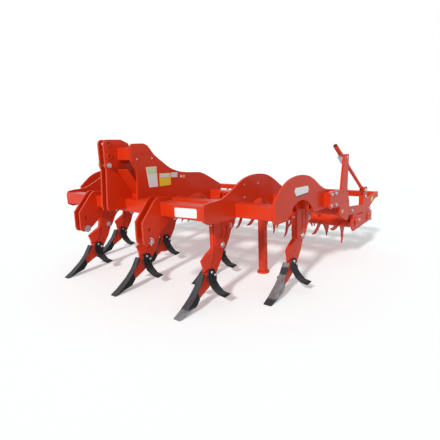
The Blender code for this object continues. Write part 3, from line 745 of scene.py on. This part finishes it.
class SUBSOILER_OT_pins(bpy.types.Operator):
    """Linch pins of the hitch, and the legs' locking pins, with painted shade in the legs' holes
    """
    bl_idname = "subsoiler.pins"
    bl_label = "Pins"

    def execute(self, context):
        linch_pin("top_linch_pin", "top_link_pin", -1, TOP_LINCH, 0.3)
        for name, side in SIDES:
            linch_pin("linch_pin_" + name, "lower_link_pin_" + name, side, LOWER_LINCH,
                      0.3 * side)
            low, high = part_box("parking_leg_" + name)
            middle = (low + high) / 2
            shape = bmesh.new()
            start = Vector((middle.x, middle.y - side * LEG_PIN_INNER, LEG_PIN_HEIGHT))
            turned(shape, start, (0, side, 0),
                   ((0, LEG_PIN_RADIUS), (LEG_PIN_STUB, LEG_PIN_RADIUS)), 16)
            end = Vector((middle.x, middle.y + side * LEG_PIN_OUTER, LEG_PIN_HEIGHT))
            turned(shape, end, (0, side, 0),
                   ((0, LEG_PIN_RADIUS), (LEG_PIN_TAPER, LEG_PIN_RADIUS),
                    (LEG_PIN_STUB, LEG_PIN_TIP)), 16)
            ring(shape, start + Vector((0, -side * LEG_RING_STAND, -LEG_RING_DROP)),
                 (0.1, 1, 0), LEG_RING_RADIUS, LEG_RING_WIRE)
            piece(shape, "leg_lock_pin_" + name, "zinc", "frame")
            shape = bmesh.new()
            # dark discs of painted shade in the leg's holes, on both faces
            for z in LEG_HOLES:
                for face in (LEG_FACE, -LEG_FACE):
                    hole_shade_disc(shape, Vector((middle.x, middle.y + face, z)), (0, face, 0),
                               LEG_HOLE_RADIUS)
            piece(shape, "leg_holes_" + name, "hole_shade", "leg_" + name)
        return {"FINISHED"}


class SUBSOILER_OT_bearings(bpy.types.Operator):
    """Flanged bearings of the rotors, and the bolts of the pivot and the trunnions"""
    bl_idname = "subsoiler.bearings"
    bl_label = "Bearings and pivots"

    def execute(self, context):
        flats = context.scene.subsoiler_fasteners.frame_bolt
        seat, circle, share = BEARING_BOLTS
        for name, side in SIDES:
            face = side * (SIDE_FRAME[1].y - BEARING_SINK)
            shape, bolts = bmesh.new(), bmesh.new()
            for axis in ROTORS:
                start = Vector((axis.x, face, axis.z))
                turned(shape, start, (0, side, 0), BEARING, 32)
                for k in range(4):
                    a = math.radians(45 + 90 * k)
                    spot = start + Vector((circle * math.cos(a), side * seat,
                                           circle * math.sin(a)))
                    hex_bolt(bolts, spot, (0, side, 0), flats * share)
            piece(shape, "bearings_" + name, "red", "roller_frame")
            piece(bolts, "bearing_bolts_" + name, "zinc", "roller_frame")
            shape = bmesh.new()
            for axis, (sink, size) in ((PIVOT, PIVOT_BOLT), (TRUNNION, TRUNNION_BOLT)):
                spot = Vector((axis.x, side * (BRACKET[1].y - sink), axis.z))
                hex_bolt(shape, spot, (0, side, 0), flats * size)
            piece(shape, "pivot_bolts_" + name, "zinc", "frame")
        return {"FINISHED"}


class SUBSOILER_OT_adjusters(bpy.types.Operator):
    """Plated locking clip with its tab, and painted shade in the mouth, of each adjuster's
    barrel
    """
    bl_idname = "subsoiler.adjusters"
    bl_label = "Screw adjusters"

    def execute(self, context):
        way = Vector((STRUT_WAY.x, 0, STRUT_WAY.z))
        inner, clip = BARREL_RADIUS - CLIP_SINK, BARREL_RADIUS + CLIP_STAND
        profile = ((0, inner), (0, clip), (CLIP_WIDTH, clip), (CLIP_WIDTH, inner))
        for name, side in SIDES:
            start = Vector((TRUNNION.x, side * abs(TRUNNION.y), TRUNNION.z))
            shape = bmesh.new()
            turned(shape, start - way * CLIP_BACK, way, profile, hollow=True)
            rounded_sheet(shape, [from_tips(CLIP_TAB_X, side * y, z) for y, z in CLIP_TAB],
                          CLIP_TAB_SHEET, CLIP_TAB_ROUNDING)
            piece(shape, "locking_clip_" + name, "zinc", "adjuster_barrel_" + name)
            # a dark disc of painted shade inside the barrel's mouth
            shape = bmesh.new()
            hole_shade_disc(shape, start - way * MOUTH_BACK, -way, MOUTH_RADIUS)
            piece(shape, "barrel_mouth_" + name, "hole_shade", "adjuster_barrel_" + name)
        return {"FINISHED"}


class SUBSOILER_OT_welds(bpy.types.Operator):
    """Weld beads where the plates meet the tubes"""
    bl_idname = "subsoiler.welds"
    bl_label = "Weld beads"

    def execute(self, context):
        radius = context.scene.subsoiler_fasteners.bead
        rng = random.Random(7)
        plates = (
            ("spine", SPINE, (FRONT_TUBE, MIDDLE_TUBE, REAR_TUBE)),
            ("arch", ARCH, (MIDDLE_TUBE, REAR_TUBE)),
        )
        for label, plate, tubes in plates:
            for name, side in SIDES:
                paths = []
                for y in (plate[0].y, plate[1].y):
                    for tube in tubes:
                        path = over_tube(tube, side * y, max(tube[0].z, PLATE_SEAM_BOTTOM))
                        paths.append(path[:3] if tube is FRONT_TUBE else path)
                weld("weld_%s_%s" % (label, name), paths, radius, rng)
        for name, side in SIDES:
            weld("weld_outer_" + name, [over_tube(tube, side * OUTER[0].y, OUTER_SEAM_BOTTOM)
                                        for tube in (MIDDLE_TUBE, REAR_TUBE)], radius, rng)
        low, high = FRONT_TUBE
        cross_low, cross_high = CROSS_TUBE
        for name, side in SIDES:
            weld("weld_bracket_" + name, [
                [(high.x, side * y, low.z), (high.x, side * y, high.z),
                 (low.x, side * y, high.z)] for y in CHEEK_FACES], radius, rng)
            y = side * HEADSTOCK_FACE
            weld("weld_headstock_" + name, [
                [(cross_low.x, y, cross_high.z), (cross_high.x, y, cross_high.z),
                 (cross_high.x, y, cross_low.z), (cross_low.x, y, cross_low.z)],
                [(high.x, y, low.z + HEADSTOCK_SEAM_RISE), (high.x, y, high.z),
                 (low.x, y, high.z)]], radius, rng)
            weld("seam_spine_" + name, [on_side(side * SPINE[1].y, *SPINE_SEAM)],
                 radius * SPINE_SEAM_SHARE, rng)
        return {"FINISHED"}


class SUBSOILER_OT_plates(bpy.types.Operator):
    """Blank plates and stickers"""
    bl_idname = "subsoiler.plates"
    bl_label = "Blank plates"

    def execute(self, context):
        for name, finish, body, thickness, radius, corners in SHEETS:
            shape = bmesh.new()
            rounded_sheet(shape, corners, thickness, radius)
            piece(shape, name, finish, body)
        return {"FINISHED"}


class SUBSOILER_OT_stage(bpy.types.Operator):
    """Pale floor, soft studio light and the camera"""
    bl_idname = "subsoiler.stage"
    bl_label = "Stage"

    def execute(self, context):
        settings = context.scene.subsoiler_stage
        self.floor()
        self.light(settings)
        self.camera(settings)
        context.scene.view_settings.view_transform = "Standard"
        return {"FINISHED"}

    def floor(self):
        mesh = bpy.data.meshes.new("floor")
        shape = bmesh.new()
        bmesh.ops.create_grid(shape, x_segments=1, y_segments=1, size=FLOOR_HALF)
        shape.to_mesh(mesh)
        shape.free()
        floor = bpy.data.objects.new("floor", mesh)
        floor.location.z = -FLOOR_DROP
        bpy.context.scene.collection.objects.link(floor)
        look = Shader("pale_floor", Roughness=0.9, Emission_Strength=1.0)
        look.set("Base Color", look.mix(look.noise(0.6), *FLOOR_COLOURS))
        seen = look.node("ShaderNodeLightPath", {}, out="Is Camera Ray")
        look.set("Emission Color", look.mix(seen, (0, 0, 0, 1), FLOOR_GLOW))
        mesh.materials.append(look.material)

    def light(self, settings):
        """A white surround to look at, dimmer as a lamp, and a soft sun."""
        world = bpy.data.worlds.new("studio")
        bpy.context.scene.world = world
        world.use_nodes = True
        sky = Nodes(world.node_tree)
        camera, glossy, through = (sky.node("ShaderNodeLightPath", {}, out=ray) for ray in (
            "Is Camera Ray", "Is Glossy Ray", "Is Transmission Ray"))
        seen = camera.larger(glossy).larger(through)
        background = sky.tree.nodes["Background"].inputs
        sky.feed(background["Strength"], settings.fill + seen * (1 - settings.fill))
        background["Color"].default_value = (1, 1, 1, 1)
        sun = bpy.data.lights.new("key", "SUN")
        sun.energy = settings.key
        sun.angle = SUN_ANGLE
        key = bpy.data.objects.new("key", sun)
        key.rotation_euler = SUN_WAY.to_track_quat("Z", "Y").to_euler()
        bpy.context.scene.collection.objects.link(key)

    def camera(self, settings):
        spot = from_tips(*CAMERA_SPOT)
        heading, dip, tilt = (math.radians(a) for a in CAMERA_TURNS)
        ahead = Vector((math.cos(heading) * math.cos(dip), math.sin(heading) * math.cos(dip),
                        -math.sin(dip)))
        right = Vector((math.sin(heading), -math.cos(heading), 0))
        up = right.cross(ahead)
        across = right * math.cos(tilt) + up * math.sin(tilt)
        over = up * math.cos(tilt) - right * math.sin(tilt)
        data = bpy.data.cameras.new("camera")
        data.sensor_width = SENSOR_WIDTH
        data.lens = settings.lens
        camera = bpy.data.objects.new("camera", data)
        camera.matrix_world = Matrix((
            (across.x, over.x, -ahead.x, spot.x), (across.y, over.y, -ahead.y, spot.y),
            (across.z, over.z, -ahead.z, spot.z), (0, 0, 0, 1)))
        bpy.context.scene.collection.objects.link(camera)
        bpy.context.scene.camera = camera


OPERATORS = (
    SUBSOILER_OT_stage, SUBSOILER_OT_paint, SUBSOILER_OT_clamp_bolts,
    SUBSOILER_OT_wing_bolts, SUBSOILER_OT_frame_bolts, SUBSOILER_OT_pins,
    SUBSOILER_OT_bearings, SUBSOILER_OT_adjusters, SUBSOILER_OT_welds,
    SUBSOILER_OT_plates,
)


class SUBSOILER_PT_panel(bpy.types.Panel):
    """Lists the steps that dress the machine"""
    bl_idname = "SUBSOILER_PT_panel"
    bl_label = "Subsoiler"
    bl_space_type = "VIEW_3D"
    bl_region_type = "UI"
    bl_category = "Subsoiler"

    def draw(self, context):
        for step in OPERATORS:
            self.layout.operator(step.bl_idname)
        scene = context.scene
        for group in (scene.subsoiler_paint, scene.subsoiler_fasteners, scene.subsoiler_stage):
            for key in group.__annotations__:
                self.layout.prop(group, key)


GROUPS = {
    "subsoiler_paint": PaintSettings,
    "subsoiler_fasteners": FastenerSettings,
    "subsoiler_stage": StageSettings,
}


def register():
    for group in GROUPS.values():
        bpy.utils.register_class(group)
    for name, group in GROUPS.items():
        setattr(bpy.types.Scene, name, bpy.props.PointerProperty(type=group))
    for step in (*OPERATORS, SUBSOILER_PT_panel):
        bpy.utils.register_class(step)


def unregister():
    for step in reversed((*OPERATORS, SUBSOILER_PT_panel)):
        bpy.utils.unregister_class(step)
    for name in GROUPS:
        delattr(bpy.types.Scene, name)
    for group in reversed(tuple(GROUPS.values())):
        bpy.utils.unregister_class(group)


def main():
    register()
    for step in OPERATORS:
        group, action = step.bl_idname.split(".")
        getattr(getattr(bpy.ops, group), action)()


if __name__ == "__main__":
    main()
